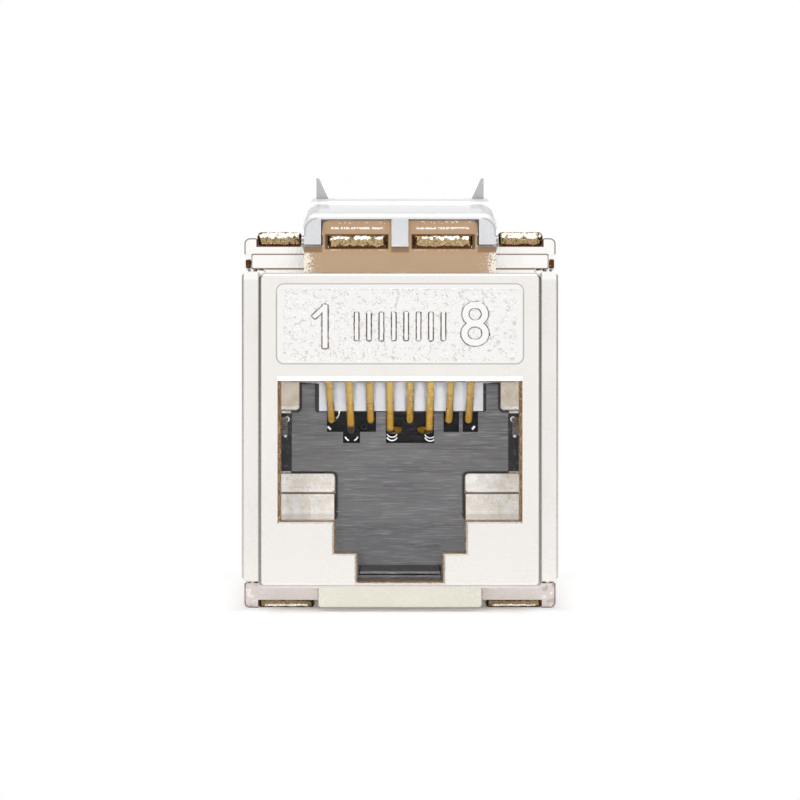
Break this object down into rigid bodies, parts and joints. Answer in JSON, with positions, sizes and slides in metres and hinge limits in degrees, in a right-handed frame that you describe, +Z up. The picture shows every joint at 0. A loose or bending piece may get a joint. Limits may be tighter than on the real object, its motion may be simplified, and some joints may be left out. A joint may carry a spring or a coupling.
{
  "type": "keystone jack",
  "caption": "Shielded keystone jack with a modular plug port, a pinned snap latch, hinged side wings that close over the wires, and a split cable collar.",
  "frame": {"origin": "centre of the bounding box, on the plane that the jack stands on", "axes": "+X to the right seen from the front, +Y from the port to the cable collar, +Z up"},
  "size_m": [0.0168, 0.0372, 0.0234],
  "materials": {
    "plated_casting": "satin nickel plating on a zinc casting",
    "white_plastic": "moulded, matt",
    "black_plastic": "moulded, satin",
    "green_board": "solder mask, satin",
    "clear_white_plastic": "moulded, slightly translucent",
    "bronze_sheet": "rolled, satin",
    "steel_pin": "ground",
    "spring_steel": "rolled",
    "gold_plate": "gold plated",
    "tinned_blade": "tinned"
  },
  "bodies": {
    "housing": {"front_housing": "plated_casting", "contact_insert": "black_plastic", "contact_comb": "white_plastic", "contact_1": "gold_plate", "contact_2": "gold_plate", "contact_3": "gold_plate", "contact_4": "gold_plate", "contact_5": "gold_plate", "contact_6": "gold_plate", "contact_7": "gold_plate", "contact_8": "gold_plate", "left_earth_spring": "spring_steel", "right_earth_spring": "spring_steel", "circuit_board": "green_board", "terminal_block": "black_plastic", "blade_1": "tinned_blade", "blade_2": "tinned_blade", "blade_3": "tinned_blade", "blade_4": "tinned_blade", "blade_5": "tinned_blade", "blade_6": "tinned_blade", "blade_7": "tinned_blade", "blade_8": "tinned_blade", "latch_bracket": "bronze_sheet", "latch_pin": "steel_pin", "leaf_spring": "spring_steel"},
    "latch_lever": {"latch": "clear_white_plastic"},
    "left_cover": {"left_wing": "plated_casting", "left_stuffer": "white_plastic"},
    "right_cover": {"right_wing": "plated_casting", "right_stuffer": "white_plastic"}
  },
  "joints": [
    {"name": "latch_hinge", "type": "hinge", "parent": "housing", "child": "latch_lever", "pos_m": [0, -0.0147, 0.0192], "axis": [-1, 0, 0], "range_deg": [0, 8], "stiffness_Nm_per_rad": 0.05, "springref_deg": -5.73, "deforming": ["leaf_spring"]},
    {"name": "left_cover_hinge", "type": "hinge", "parent": "housing", "child": "left_cover", "pos_m": [-0.00785, -0.0081, 0.00961], "axis": [0, 0, 1], "range_deg": [0, 95]},
    {"name": "right_cover_hinge", "type": "hinge", "parent": "housing", "child": "right_cover", "pos_m": [0.00785, -0.0081, 0.00961], "axis": [0, 0, -1], "range_deg": [0, 95]}
  ]
}
